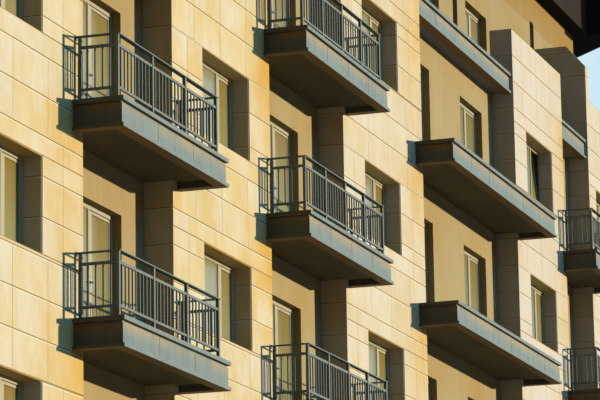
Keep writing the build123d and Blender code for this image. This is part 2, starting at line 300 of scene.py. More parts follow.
class Finish:
    """A procedural material that is put together node by node on Object coordinates."""

    def __init__(self, name):
        self.material = bpy.data.materials.new(name)
        self.material.use_nodes = True
        self.tree = self.material.node_tree
        self.shader = self.tree.nodes["Principled BSDF"]
        self.coordinates = self.node("ShaderNodeTexCoord").outputs["Object"]

    def node(self, kind, **values):
        return add_node(self.tree, kind, **values)

    def shift_by(self, value, amount):
        """Moves every later pattern by an attribute, so that neighbouring panels differ."""
        shift = self.node("ShaderNodeVectorMath", operation="SCALE")
        shift.inputs[0].default_value = amount
        feed(shift.inputs["Scale"], value)
        added = self.node("ShaderNodeVectorMath", operation="ADD")
        feed(added.inputs[0], self.coordinates)
        feed(added.inputs[1], shift.outputs[0])
        self.coordinates = added.outputs[0]

    def noise(self, scale, detail=4.0, stretch=(1, 1, 1), roughness=0.55):
        mapping = self.node("ShaderNodeMapping")
        mapping.inputs["Scale"].default_value = stretch
        feed(mapping.inputs["Vector"], self.coordinates)
        noise = self.node("ShaderNodeTexNoise")
        feed(noise.inputs["Vector"], mapping.outputs["Vector"])
        feed(noise.inputs["Scale"], scale)
        feed(noise.inputs["Detail"], detail)
        feed(noise.inputs["Roughness"], roughness)
        return noise.outputs["Fac"]

    def spread(self, value, low, high, to_low=0.0, to_high=1.0):
        """Maps the range low to high onto to_low to to_high, and holds what lies beyond it."""
        ranged = self.node("ShaderNodeMapRange")
        for socket, amount in zip(ranged.inputs, (value, low, high, to_low, to_high)):
            feed(socket, amount)
        return ranged.outputs["Result"]

    def math(self, operation, *values):
        node = self.node("ShaderNodeMath", operation=operation)
        for socket, value in zip(node.inputs, values):
            feed(socket, value)
        return node.outputs["Value"]

    def times(self, first, second):
        return self.math("MULTIPLY", first, second)

    def axis_of(self, vector, axis):
        axes = self.node("ShaderNodeSeparateXYZ")
        feed(axes.inputs[0], vector)
        return axes.outputs[axis]

    def height(self):
        return self.axis_of(self.coordinates, "Z")

    def height_above(self, first, pitch):
        """Height above the line below, where lines follow at a pitch from the first one."""
        return self.math("FLOORED_MODULO", self.math("SUBTRACT", self.height(), first), pitch)

    def facing(self, axis):
        """How squarely a face looks along an axis: 1 along it, -1 against it."""
        return self.axis_of(self.node("ShaderNodeNewGeometry").outputs["True Normal"], axis)

    # painted shade: a mask of the faces that look down, which the finishes darken
    def downward_shade_mask(self):
        return self.spread(self.facing("Z"), -0.80, -0.95)

    def attribute(self, name):
        return self.node("ShaderNodeAttribute", attribute_name=name).outputs["Fac"]

    def mix(self, factor, first, second, blend="MIX"):
        mix = self.node("ShaderNodeMix", data_type="RGBA", blend_type=blend)
        for index, value in ((0, factor), (6, first), (7, second)):
            feed(mix.inputs[index], value)
        return mix.outputs[2]

    def dye(self, factor, tone, dye):
        return self.mix(factor, tone, dye, "MULTIPLY")

    def surface(self, colour, rough, gloss=0.5, **others):
        """Sets the shader's colour, roughness, plain gloss and any other socket that is named."""
        values = {"Base Color": colour, "Roughness": rough, "Specular IOR Level": gloss, **others}
        for name, value in values.items():
            feed(self.shader.inputs[name], value)

    def bump(self, height, strength, distance):
        bump = self.node("ShaderNodeBump")
        feed(bump.inputs["Strength"], strength)
        feed(bump.inputs["Distance"], distance)
        feed(bump.inputs["Height"], height)
        feed(self.shader.inputs["Normal"], bump.outputs["Normal"])


def scaled(colour, factor):
    return tuple(channel * factor for channel in colour)


def stone_finish():
    """Honed stone with upright veins, a shade for each panel, two batches and rust-gold stains,
    with a painted highlight along each panel's top and painted shade on faces that look down.
    """
    tones = settings("block_finishes")
    panels = settings("block_cladding")
    finish = Finish("stone_panel")
    batch = finish.attribute("batch")
    shade = finish.attribute("shade")
    rise = finish.height_above(CAP_LINE, STOREY)
    row = finish.height_above(panels.first_joint, panels.row_height)
    patches = finish.spread(finish.noise(1.1, 5.0, (1.0, 1.0, 0.6), 0.6), 0.36, 0.58, 0.45, 1.0)
    finish.shift_by(shade, (37.0, 0.0, 19.0))
    veins = finish.spread(finish.noise(3.4, 7.0, (2.0, 2.0, 0.6), 0.7), 0.38, 0.66, 0.0, 0.26)
    lines = finish.spread(finish.noise(9.0, 4.0, (4.0, 4.0, 0.22), 0.65), 0.42, 0.68, 0.0, 0.24)
    cloud = finish.spread(finish.noise(1.3, 5.0, (1.0, 1.0, 0.7), 0.6), 0.37, 0.62)
    cloud = finish.times(cloud, finish.spread(batch, 0.0, 1.0, 0.85, 0.30))
    colour = finish.mix(batch, tones.stone_gold, tones.stone_pale)
    colour = finish.dye(cloud, colour, STONE_CLOUD)
    colour = finish.dye(veins, colour, STONE_VEIN)
    colour = finish.dye(lines, colour, STONE_LINE)
    colour = finish.dye(finish.times(shade, 0.30), colour, STONE_SHADE)
    stain = finish.math("POWER", finish.attribute("stain"), 1.15)
    above_cap = finish.spread(rise, 0.6, 2.1, 0.20, 1.0)
    below_cap = finish.spread(rise, 3.0, 2.8, 0.3, 1.0)
    for share in (above_cap, below_cap, patches):
        stain = finish.times(stain, share)
    colour = finish.dye(stain, colour, STONE_STAIN)
    # painted highlight: a pale band just under each joint, on top of the panel below, where
    # sunlight catches its edge
    lip = finish.spread(row, panels.row_height - 0.026, panels.row_height - 0.022, 0.0, 0.75)
    colour = finish.mix(lip, colour, STONE_TOP_HIGHLIGHT)
    # painted shade: faces that look down are darker and browner
    colour = finish.dye(finish.downward_shade_mask(), colour, STONE_PAINTED_SHADE_BELOW)
    finish.surface(colour, finish.spread(finish.noise(90.0, 3.0), 0.3, 0.7, 0.66, 0.84), 0.04)
    finish.bump(finish.noise(38.0, 5.0, (1.0, 1.0, 0.6)), 0.25, 0.004)
    return finish.material


def dust_and_highlight_finish(name, scale, first, second, rough, gloss):
    """Stone dust for the joints, and painted highlight for the panels' top arris, in clouds of two
    tones.
    """
    finish = Finish(name)
    wear = finish.spread(finish.noise(scale), 0.3, 0.7)
    finish.surface(finish.mix(wear, first, second), rough, gloss)
    return finish.material


def render_finish(name, colour, band_height=None):
    """Fine plaster with trowel clouds and streaks, darker and more golden above a given height."""
    finish = Finish(name)
    cloud = finish.spread(finish.noise(0.8), 0.35, 0.68, 0.0, 0.8)
    streak = finish.spread(finish.noise(2.2, 5.0, (4.0, 4.0, 0.20), 0.65), 0.42, 0.68, 0.0, 0.30)
    worn = finish.dye(streak, finish.dye(cloud, colour, RENDER_CLOUD), RENDER_STREAK)
    if band_height:
        upper_band = finish.spread(finish.height(), band_height - 0.04, band_height + 0.04, 0.0, 0.85)
        worn = finish.dye(upper_band, worn, RENDER_UPPER_BAND)
    finish.surface(worn, 0.9, 0.04)
    finish.bump(finish.noise(140.0), 0.35, 0.003)
    return finish.material


def painted_finish(name, colour, rough, streaks=0.25, gloss=0.12, metallic=0.0):
    """Coated metal or plastic with dust streaks and slightly uneven gloss."""
    finish = Finish(name)
    streak = finish.spread(finish.noise(2.5, 5.0, (4.0, 4.0, 0.5)), 0.4, 0.75, 0.0, streaks)
    dust = finish.noise(14.0)
    worn = finish.mix(streak, colour, scaled(colour, 0.70))
    worn = finish.mix(finish.spread(dust, 0.45, 0.8, 0.0, 0.18), worn, scaled(colour, 1.22))
    uneven = finish.spread(dust, 0.3, 0.7, rough - 0.07, rough + 0.07)
    finish.surface(worn, uneven, gloss, Metallic=metallic)
    finish.bump(finish.noise(60.0, 3.0), 0.06, 0.001)
    return finish.material


def fascia_finish():
    """Coated sheet with tan dust under the cap, and painted shade that makes its ends and the
    faces that look down darker and browner.
    """
    colour = settings("block_finishes").sheet_grey
    finish = Finish("fascia_sheet")
    streak = finish.noise(2.4, 5.0, (4.0, 4.0, 0.35), 0.6)
    cloud = finish.spread(finish.noise(1.3, 3.0), 0.35, 0.65, 0.0, 0.5)
    worn = finish.mix(cloud, colour, scaled(colour, 1.16))
    worn = finish.mix(finish.spread(streak, 0.45, 0.7, 0.0, 0.5), worn, scaled(colour, 0.74))
    rise = finish.height_above(CAP_LINE, STOREY)
    under_cap = finish.times(finish.spread(rise, 2.74, 2.90), finish.spread(rise, 2.935, 2.915))
    dust = finish.times(under_cap, finish.spread(finish.noise(0.9, 3.0), 0.40, 0.58, 0.25, 0.95))
    worn = finish.mix(dust, worn, FASCIA_DUST)
    # painted shade: ends that face sideways are darker and browner, and faces that look down turn
    # brown
    end = finish.spread(finish.math("ABSOLUTE", finish.facing("X")), 0.80, 0.95)
    worn = finish.mix(finish.downward_shade_mask(), finish.dye(end, worn, FASCIA_END_PAINTED_SHADE), FASCIA_PAINTED_SHADE_BELOW)
    finish.surface(worn, finish.spread(streak, 0.3, 0.7, 0.50, 0.65), 0.05)
    finish.bump(finish.noise(60.0, 3.0), 0.06, 0.001)
    return finish.material


def concrete_finish(name, colour):
    """Cast or painted concrete with soft clouds and fine pores."""
    finish = Finish(name)
    cloud = finish.spread(finish.noise(1.1, 5.0), 0.3, 0.7)
    pores = finish.noise(70.0, 3.0)
    finish.surface(finish.mix(cloud, scaled(colour, 0.85), scaled(colour, 1.12)),
                   finish.spread(pores, 0.3, 0.7, 0.78, 0.95), 0.04)
    finish.bump(pores, 0.3, 0.003)
    return finish.material


def glass_finish():
    """Thin glazing: part see-through, tinted from cool to olive, with painted shade that darkens
    it towards the lintel.
    """
    finish = Finish("pane_glass")
    colour = finish.mix(finish.attribute("tint"), PANE_COOL, PANE_OLIVE)
    cloud = finish.spread(finish.noise(0.9, 2.0, (1.0, 1.0, 0.5)), 0.3, 0.7, 0.0, 0.35)
    colour = finish.mix(cloud, colour, PANE_CLOUD)
    # painted shade: the pane turns darker and more olive towards its head
    head_shade = finish.spread(finish.height_above(CAP_LINE, STOREY), 1.0, 2.1, 0.0, 0.8)
    finish.surface(finish.dye(head_shade, colour, PANE_HEAD_PAINTED_SHADE), 0.08, 0.3, Alpha=0.60, IOR=1.5)
    return finish.material


def blind_finish():
    """Woven blind cloth on a flat sheet, with painted shade in soft upright creases."""
    finish = Finish("roller_blind")
    # painted shade: upright darker bands stand in for the shade of creases in the cloth
    fold_shade = finish.spread(finish.noise(3.0, 2.0, (1.0, 1.0, 0.05)), 0.3, 0.7)
    finish.surface(finish.mix(fold_shade, BLIND_SHADE, BLIND_PALE), 0.85)
    finish.bump(finish.noise(220.0, 2.0, (1.0, 1.0, 0.3)), 0.2, 0.001)
    return finish.material


def make_finishes():
    tones = settings("block_finishes")
    seam_grey, seam_brown = scaled(tones.sheet_grey, 0.55), scaled(tones.roof_brown, 0.6)
    return {
        "stone": stone_finish(),
        "joint": dust_and_highlight_finish("stone_joint", 24.0, JOINT_DEEP, JOINT_DUSTY, 0.95, 0.02),
        "arris": dust_and_highlight_finish("stone_arris_highlight", 11.0, ARRIS_HIGHLIGHT_PALE, ARRIS_HIGHLIGHT_DEEP, 0.8, 0.04),
        "render": render_finish("loggia_render", tones.render_tan),
        "top_render": render_finish("top_render", tones.render_top, UPPER_BAND_HEIGHT),
        "sheet": fascia_finish(),
        "sheet_joint": painted_finish("fascia_joint", seam_grey, rough=0.55, streaks=0.3),
        "railing": painted_finish(
            "railing_paint", tones.railing_grey, rough=0.45, streaks=0.2, gloss=0.06),
        "steel": painted_finish("bolt_steel", STEEL, rough=0.35, streaks=0.2, metallic=1.0),
        "cream": painted_finish("frame_cream", tones.frame_cream, rough=0.40, streaks=0.12),
        "seal": painted_finish("brown_seal", SEAL_BROWN, rough=0.60, streaks=0.1),
        "glass": glass_finish(),
        # painted shade: the slots' glass is near-black, in place of the shaded room behind it
        "dark_glass": painted_finish("slot_glass_painted_shade", SLOT_PAINTED_SHADE, rough=0.12, streaks=0.1),
        "blind": blind_finish(),
        "soffit": concrete_finish("soffit_paint", tones.soffit_brown),
        "concrete": concrete_finish("cast_concrete", CAST_GREY),
        "roof": painted_finish(
            "roof_sheet", tones.roof_brown, rough=0.80, streaks=0.3, gloss=0.04),
        "roof_joint": painted_finish(
            "roof_seam", seam_brown, rough=0.70, streaks=0.3, gloss=0.04),
        "sill": painted_finish("sill_sheet", SILL_GREY, rough=0.40, streaks=0.2),
    }


FINISHES = {}


def finish_of(name):
    if not FINISHES:
        FINISHES.update(make_finishes())
    return FINISHES[name]


def dress(node, finish):
    """Gives a frame node its finish."""
    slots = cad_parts[node].data.materials
    slots.clear()
    slots.append(finish_of(finish))


# Stone panels

JOINT_FACE, HIGHLIGHT_ARRIS_FACE = 1, 2    # places in a stone piece's list of finishes; the arris one carries a painted highlight
EDGE = 0.02              # what lies this close to an edge belongs to the edge
ROW_OVERLAP = 0.05       # a row that passes a window by more than this is cut by it
SHORTEST_PANEL = 0.28
JOINT_SHIFT = 0.41       # how far each pier's upright joints move on, in panels
CUT_WELD = 0.0001
BATCHES = {1: 0.10, 2: 0.0, 3: 0.55, 4: 1.0, 5: 0.85}


def rows_between(low, high):
    """Joint heights strictly between two heights."""
    panels = settings("block_cladding")
    count = math.ceil((high - panels.first_joint) / panels.row_height)
    joints = (panels.first_joint + index * panels.row_height for index in range(count))
    return [joint for joint in joints if low + EDGE < joint < high - EDGE]


def stone_layers(bm):
    """The shade, batch and stain that the stone's finish reads."""
    faces, verts = bm.faces.layers.float, bm.verts.layers.float
    return faces.new("shade"), faces.new("batch"), verts.new("stain")


def panel_tone(rng):
    """Shade of one panel; most are pale and a few are deep."""
    return rng.random() ** 2 * settings("block_cladding").shade_spread * 2


def cut(bm, faces, place, normal):
    geometry = set(faces)
    for face in faces:
        geometry.update((*face.edges, *face.verts))
    bmesh.ops.bisect_plane(
        bm, geom=list(geometry), dist=CUT_WELD, plane_co=place, plane_no=normal)


def faces_between(bm, low, high):
    return [face for face in bm.faces if low < face.calc_center_median().y < high]


def panel_groups(bm, edges, columns, holes):
    """The faces of each panel, which is one row high and runs from joint to joint or to a hole."""
    groups = {}
    for face in bm.faces:
        middle = face.calc_center_median()
        index = sum(1 for row in edges[1:-1] if row < middle.y)
        joints = columns(edges[index], edges[index + 1])
        key = (index, sum(1 for joint in joints if joint < middle.x))
        for number, (_, side, base, head) in enumerate(holes):
            if base < middle.y < head:
                key = (*key, number, middle.x > side)
        groups.setdefault(key, []).append(face)
    return [groups[key] for key in sorted(groups, key=str)]


def raise_panel(bm, faces, length, height, holes):
    """Sets one panel forward of its joints, with a dark groove round it and a painted highlight on
    its top arris.
    """
    panels = settings("block_cladding")
    rims = bmesh.ops.inset_region(
        bm, faces=faces, thickness=panels.upright_joint / 2, depth=0.0, use_boundary=True,
        use_even_offset=True)["faces"]
    verts = {vert for face in faces for vert in face.verts}
    bottom = min(vert.co.y for vert in verts)
    top = max(vert.co.y for vert in verts)
    for rim in rims:
        middle = rim.calc_center_median()
        at_side = not EDGE <= middle.x <= length - EDGE
        at_hole = any(a0 - EDGE < middle.x < a1 + EDGE and b0 - EDGE < middle.y < b1 + EDGE
                      for a0, a1, b0, b1 in holes)
        if top < middle.y < height - EDGE:
            # painted highlight: the top arris gets the pale arris finish, as where sunlight
            # catches it
            rim.material_index = HIGHLIGHT_ARRIS_FACE
        elif not at_side and not at_hole:
            rim.material_index = JOINT_FACE
    for vert in verts:
        if vert.co.y < bottom + WELD and bottom > EDGE:
            vert.co.y += panels.lower_arris
        elif vert.co.y > top - WELD and top < height - EDGE:
            vert.co.y -= panels.upper_arris
    bmesh.ops.translate(bm, vec=(0, 0, panels.thickness), verts=list(verts))
    return [*faces, *rims]


def no_columns(low, high):
    return []


def panel_sheet(size, rng, batch, rows=(), columns=no_columns, holes=(), stained=False):
    """Flat sheet of panels in its own plane: x along, y up, z outwards."""
    length, height = size
    reach = settings("block_cladding").stain_reach
    bm = bmesh.new()
    shade, batches, stain = stone_layers(bm)
    middle = Matrix.Translation((length / 2, height / 2, 0))
    place = middle @ Matrix.Diagonal((length, height, 1, 1))
    bmesh.ops.create_grid(bm, x_segments=1, y_segments=1, size=0.5, matrix=place)
    edges = [0.0, *rows, height]
    for row in rows:
        cut(bm, bm.faces[:], (0, row, 0), INWARDS)
    for a0, a1, b0, b1 in holes:
        for edge in (b0, b1):
            cut(bm, bm.faces[:], (0, edge, 0), INWARDS)
        for edge in (a0, a1):
            cut(bm, faces_between(bm, b0, b1), (edge, 0, 0), ACROSS)
        inside = [face for face in faces_between(bm, b0, b1)
                  if a0 < face.calc_center_median().x < a1]
        bmesh.ops.delete(bm, geom=inside, context="FACES")
    for low, high in zip(edges, edges[1:]):
        for joint in columns(low, high):
            cut(bm, faces_between(bm, low, high), (joint, 0, 0), ACROSS)
    if stained:
        cut(bm, bm.faces[:], (length - reach, 0, 0), ACROSS)
    for faces in panel_groups(bm, edges, columns, holes):
        tone = panel_tone(rng)
        for face in raise_panel(bm, faces, length, height, holes):
            face[shade] = tone
            face[batches] = batch
    if stained:
        for vert in bm.verts:
            vert[stain] = max(0.0, 1.0 - (length - vert.co.x) / reach)
    return bm


def lay_sheet(target, sheet, origin, along, up):
    """Stands a flat sheet of panels on a wall and joins it to the piece."""
    turn = Matrix((along, up, along.cross(up))).transposed().to_4x4()
    sheet.transform(Matrix.Translation(origin) @ turn)
    holder = mesh_from(sheet, "sheet")
    target.from_mesh(holder)
    bpy.data.meshes.remove(holder)


def pier_columns(length, windows, anchor):
    """Upright joints of a pier front: regular rows between windows, one joint beside them."""
    usual = settings("block_cladding").panel_length

    def columns(low, high):
        for a0, a1, b0, b1 in windows:
            if low < b1 - ROW_OVERLAP and high > b0 + ROW_OVERLAP:
                sides = ((0, a0), (a1, length))
                return [(start + end) / 2 for start, end in sides if end - start > usual]
        start = anchor % usual
        joints = [start + usual * number for number in range(int((length - start) / usual) + 1)]
        return [joint for joint in joints if SHORTEST_PANEL < joint < length - SHORTEST_PANEL]

    return columns


def reveal_sheets(low, window):
    """Size, joint heights and place of each of the four sheets inside a window opening."""
    w0, w1 = window
    reach = w0.y - low.y
    tall, wide = w1.z - w0.z, w1.x - w0.x
    rows = [row - w0.z for row in rows_between(w0.z, w1.z)]
    return (
        ((reach, tall), rows, Vector((w0.x, low.y, w0.z)), INWARDS, UPWARDS),
        ((reach, tall), rows, Vector((w1.x, w0.y, w0.z)), -INWARDS, UPWARDS),
        ((wide, reach), (), Vector((w0.x, w0.y, w1.z)), ACROSS, -INWARDS),
        ((wide, reach), (), Vector((w0.x, low.y, w0.z)), ACROSS, INWARDS),
    )


def clad_pier(number, rng):
    """Panels on a pier's front, sides, parapet, coping and window reveals."""
    panels = settings("block_cladding")
    proud = panels.thickness
    batch = BATCHES[number]
    low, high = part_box(f"pier_front_{number}")
    left = low.x if number == 1 else low.x - proud
    length, depth, height = high.x + proud - left, high.y - low.y, high.z - low.z
    bm = bmesh.new()
    stone_layers(bm)
    windows = solid_boxes(f"pier_windows_{number}")
    holes = [(w0.x - left, w1.x - left, w0.z, w1.z) for w0, w1 in windows]
    rows = rows_between(0, height)
    columns = pier_columns(length, holes, JOINT_SHIFT * panels.panel_length * number)
    front = panel_sheet((length, height), rng, batch, rows, columns, holes, True)
    lay_sheet(bm, front, Vector((left, low.y, low.z)), ACROSS, UPWARDS)
    sides = [(high.x, low.y, INWARDS)]
    if number > 1:
        sides.append((low.x, high.y, -INWARDS))
    for x, y, along in sides:
        side = panel_sheet((depth, height), rng, batch, rows)
        lay_sheet(bm, side, Vector((x, y, low.z)), along, UPWARDS)
    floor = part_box("terrace_floor")[1].z
    parapet = panel_sheet((high.x - low.x, high.z - floor), rng, batch)
    lay_sheet(bm, parapet, Vector((high.x, high.y, floor)), -ACROSS, UPWARDS)
    coping_joints = steps_between(0, length, panels.panel_length)
    coping = panel_sheet((length, depth + 2 * proud), rng, batch, (), lambda *row: coping_joints)
    lay_sheet(bm, coping, Vector((left, low.y - proud, high.z)), ACROSS, INWARDS)
    for window in windows:
        for size, joints, origin, along, up in reveal_sheets(low, window):
            lay_sheet(bm, panel_sheet(size, rng, batch, joints), origin, along, up)
    make_piece(f"stone_panels_{number}", bm, ("stone", "joint", "arris"))


def clad_divider(rng):
    """Panels on the terrace divider's two sides and its front and top edges."""
    panels = settings("block_cladding")
    low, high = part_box("terrace_divider")
    bm = bmesh.new()
    bm.from_mesh(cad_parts["terrace_divider"].data)
    bmesh.ops.remove_doubles(bm, verts=bm.verts[:], dist=WELD)
    bmesh.ops.dissolve_limit(bm, angle_limit=0.01, verts=bm.verts[:], edges=bm.edges[:])
    parapet_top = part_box("pier_front_5")[1].z
    for row in rows_between(low.z, high.z):
        height = parapet_top if abs(row - parapet_top) < EDGE / 2 else row
        cut(bm, bm.faces[:], (0, 0, height), UPWARDS)
    shade, batches, _ = stone_layers(bm)
    bm.normal_update()
    for face in bm.faces[:]:
        tone = panel_tone(rng)
        rims = bmesh.ops.inset_individual(
            bm, faces=[face], thickness=panels.upright_joint, depth=0.0,
            use_even_offset=True)["faces"]
        for item in (face, *rims):
            item[shade] = tone
            item[batches] = BATCHES[5]
        for rim in rims:
            rim.material_index = JOINT_FACE
        bmesh.ops.translate(bm, vec=face.normal * panels.thickness, verts=face.verts[:])
    make_piece("stone_panels_divider", bm, ("stone", "joint"))


class BLOCK_OT_stone_panels(bpy.types.Operator):
    """Lay the stone panels on the piers and the terrace divider"""

    bl_idname = "block.stone_panels"
    bl_label = "Stone panels"

    def execute(self, context):
        rng = random.Random(settings("block_cladding").seed)
        for number in PIERS:
            dress(f"pier_front_{number}", "joint")
            clad_pier(number, rng)
        dress("terrace_divider", "joint")
        clad_divider(rng)
        return {"FINISHED"}


# Windows and doors

WIDE_UNIT = 2.0                       # a unit wider than this has three lights
TILTED_NODE, TILTED_STOREY = "pier_windows_4", 5
SEAL_LAP = 0.003
HANDLE_HEIGHT = 1.05
HANDLE_PLATE = Vector((0.016, 0.004, 0.11))
NECK_MIDDLE, NECK_LENGTH = 0.022, 0.04
LEVER_RADIUS, LEVER_LENGTH, LEVER_SHIFT = 0.009, 0.12, 0.055
BLIND_MARGIN, BLIND_CLOTH = 0.01, 0.003
BLIND_BOX = (0.030, 0.040, 0.07)      # before and behind the cloth, and its height
BLIND_BAR = (0.006, 0.009, 0.020)
BLIND_DROPS = (1.0, 1.0, 0.96, 0.8, 1.0)
PIER_TINTS, LOGGIA_TINTS, REAR_TINTS = (0.6, 0.05, 1.0), (0.45, 0.85), (0.2, 0.0, 0.5)
LEAF_ROUNDING, FIXING_ROUNDING = 0.003, 0.002


def inset(outline, left, right, base, head):
    x0, x1, z0, z1 = outline
    return x0 + left, x1 - right, z0 + base, z1 - head


def add_bars(bm, outline, depths, faces, material=0, turn=None):
    """Bars inside an outline, with the widths of the left, right, bottom and top one."""
    x0, x1, z0, z1 = outline
    in0, in1, low, high = inset(outline, *faces)
    y0, y1 = sorted(depths)
    bars = ((x0, in0, z0, z1), (in1, x1, z0, z1), (in0, in1, high, z1), (in0, in1, z0, low))
    for a0, a1, b0, b1 in bars:
        add_box(bm, (a0, y0, b0), (a1, y1, b1), material, turn)


def add_handle(bm, place, out):
    """Lever handle on a long plate."""
    add_box(bm, place - HANDLE_PLATE, place + HANDLE_PLATE)
    neck = place + INWARDS * out * NECK_MIDDLE
    add_rod(bm, neck, LEVER_RADIUS, NECK_LENGTH, INWARDS)
    lever = place + INWARDS * out * NECK_LENGTH - ACROSS * LEVER_SHIFT
    add_rod(bm, lever, LEVER_RADIUS, LEVER_LENGTH, ACROSS)


def light_kinds(low, high):
    """Whether each light of a unit opens, from its left as seen from outside."""
    return (True, False, True) if high.x - low.x > WIDE_UNIT else (False, True)


def add_light(bars, panes, outline, levels, out, tint, leaf=None, tilt=False):
    """One glazed light, fixed or with a leaf's four bar widths; levels run from face to pane."""
    unit = settings("block_units")
    front, back, *glass = levels
    turn = None
    faces = leaf or [unit.bead_face] * 4
    if leaf:
        gap = unit.sash_gap
        add_bars(bars, outline, (front - out * gap, back), [gap] * 4, 1)
        if tilt:
            hinge = Vector((outline[0], back, outline[2]))
            turn = (hinge, Matrix.Rotation(out * unit.tilt, 4, "X"))
        outline = inset(outline, gap, gap, gap, gap)
    add_bars(bars, outline, (front, back), faces, 0, turn)
    x0, x1, z0, z1 = outline = inset(outline, *faces)
    y0, y1 = sorted(glass)
    add_bars(bars, outline, (y0 - SEAL_LAP, y1 + SEAL_LAP), [unit.gasket] * 4, 1, turn)
    layer = panes.faces.layers.float["tint"]
    for side in faces_of(add_box(panes, (x0, y0, z0), (x1, y1, z1), 0, turn)):
        side[layer] = tint


def glaze_unit(bars, panes, handles, low, high, out, tints, tilted=False):
    """Posts, leaves, seals and panes of one window or door; out is -1 for the street side."""
    unit = settings("block_units")
    door = high.z - low.z > unit.door_height
    clear0, clear1 = low.x + unit.ring_face, high.x - unit.ring_face
    z0, z1 = low.z + unit.ring_face, high.z - unit.ring_face
    outer, inner = (low.y, high.y) if out < 0 else (high.y, low.y)
    glass = outer - out * unit.pane_recess
    front = outer - out * unit.sash_recess
    levels = (front, inner, glass, glass - out * unit.pane)
    kinds = light_kinds(low, high)
    pitch = (clear1 - clear0) / len(kinds)
    for number, opens in enumerate(kinds):
        last = number == len(kinds) - 1
        x0 = clear0 + number * pitch + (unit.mullion / 2 if number else 0)
        x1 = clear0 + (number + 1) * pitch - (0 if last else unit.mullion / 2)
        if not last:
            add_box(bars, (x1, low.y, z0), (x1 + unit.mullion, high.y, z1))
        stiles = (unit.lock_stile, unit.sash_face) if last else (unit.sash_face, unit.lock_stile)
        leaf = (*stiles, unit.door_base if door else unit.sash_face, unit.sash_face)
        add_light(bars, panes, (x0, x1, z0, z1), levels, out, tints[number % len(tints)],
                  leaf if opens else None, tilted and last)
        if door and last:
            stile = x0 + unit.sash_gap + unit.lock_stile / 2
            add_handle(handles, Vector((stile, front, low.z + HANDLE_HEIGHT)), out)


def hang_blind(bm, low, high, drop):
    """Flat roller blind with its head box and bottom bar behind a window on the street side."""
    y = high.y + settings("block_units").blind_distance
    x0, x1 = low.x + BLIND_MARGIN, high.x - BLIND_MARGIN
    bottom = high.z - (high.z - low.z) * drop
    add_box(bm, (x0, y, bottom), (x1, y + BLIND_CLOTH, high.z))
    for (before, behind, tall), top in ((BLIND_BOX, high.z), (BLIND_BAR, bottom)):
        add_box(bm, (x0, y - before, top - tall), (x1, y + behind, top), 1)


def front_nodes():
    """Frame nodes of every window and door on the street side."""
    return [*(f"pier_windows_{number}" for number in PIERS),
            *(f"loggia_doors_{number}" for number in LOGGIAS), "top_window_frames"]


class BLOCK_OT_window_units(bpy.types.Operator):
    """Hang leaves, seals and panes in the window and door frames"""

    bl_idname = "block.window_units"
    bl_label = "Windows and doors"

    def execute(self, context):
        rng = random.Random(settings("block_units").seed)
        leaves, rear, handles, panes, blinds = (bmesh.new() for _ in range(5))
        panes.faces.layers.float.new("tint")
        for node in front_nodes():
            dress(node, "cream")
            tints = PIER_TINTS if node.startswith("pier") else LOGGIA_TINTS
            for storey, (low, high) in enumerate(solid_boxes(node)):
                tilted = (node, storey) == (TILTED_NODE, TILTED_STOREY)
                glaze_unit(leaves, panes, handles, low, high, -1, tints, tilted)
                if not tilted:
                    hang_blind(blinds, low, high, rng.choice(BLIND_DROPS))
        dress("rear_window_frames", "cream")
        for low, high in solid_boxes("rear_window_frames"):
            glaze_unit(rear, panes, handles, low, high, 1, REAR_TINTS)
        for name, bm in (("window_leaves_front", leaves), ("window_leaves_rear", rear)):
            make_piece(name, bm, ("cream", "seal"), LEAF_ROUNDING)
        make_piece("door_handles", handles, ("steel",), FIXING_ROUNDING)
        make_piece("roller_blinds", blinds, ("blind", "cream"))
        glazing = make_piece("window_panes", panes, ("glass",))
        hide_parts("window_glass")
        dress("slot_panes", "dark_glass")
        return {"FINISHED"}


# Walls

SLOT_RISE = 0.060        # height of a slot's round head
SLOT_CROWN = 0.004       # render left above it
SILL_EAR, SILL_LAP, SILL_THICKNESS = 0.03, 0.01, 0.025
WALL_FINISHES = {
    "render": ("rear_wall", "end_wall_left", "end_wall_right",
               *(f"loggia_wall_{number}" for number in LOGGIAS)),
    "soffit": tuple(f"balcony_slabs_{number}" for number in LOGGIAS),
    "top_render": ("top_storey_wall", "top_end_wall"),
    "concrete": ("ground_floor", "floor_slabs", "terrace_floor"),
}


def only(kind, geometry):
    return [item for item in geometry if isinstance(item, kind)]


def add_slot_head(bm, low, high, face):
    """Render between a slot's flat lintel and its slightly round head, from the wall's face in."""
    radius = (high.x - low.x) / 2
    middle = Vector((low.x + radius, face, high.z - SLOT_RISE - SLOT_CROWN))
    verts = bmesh.ops.create_circle(
        bm, cap_ends=False, segments=32, radius=radius,
        matrix=Matrix.Translation(middle) @ Matrix.Rotation(math.pi / 2, 4, "X"))["verts"]
    lower = [vert for vert in verts if vert.co.z < middle.z - WELD]
    bmesh.ops.delete(bm, geom=lower, context="VERTS")
    arc = [vert for vert in verts if vert.is_valid]
    for vert in arc:
        vert.co.z = middle.z + (vert.co.z - middle.z) * SLOT_RISE / radius
    edges = list(dict.fromkeys(edge for vert in arc for edge in vert.link_edges))
    lifted = bmesh.ops.extrude_edge_only(bm, edges=edges)["geom"]
    for vert in only(bmesh.types.BMVert, lifted):
        vert.co.z = high.z
    deeper = bmesh.ops.extrude_face_region(
        bm, geom=only(bmesh.types.BMFace, lifted), use_keep_orig=True)["geom"]
    bmesh.ops.translate(bm, verts=only(bmesh.types.BMVert, deeper), vec=INWARDS * (low.y - face))


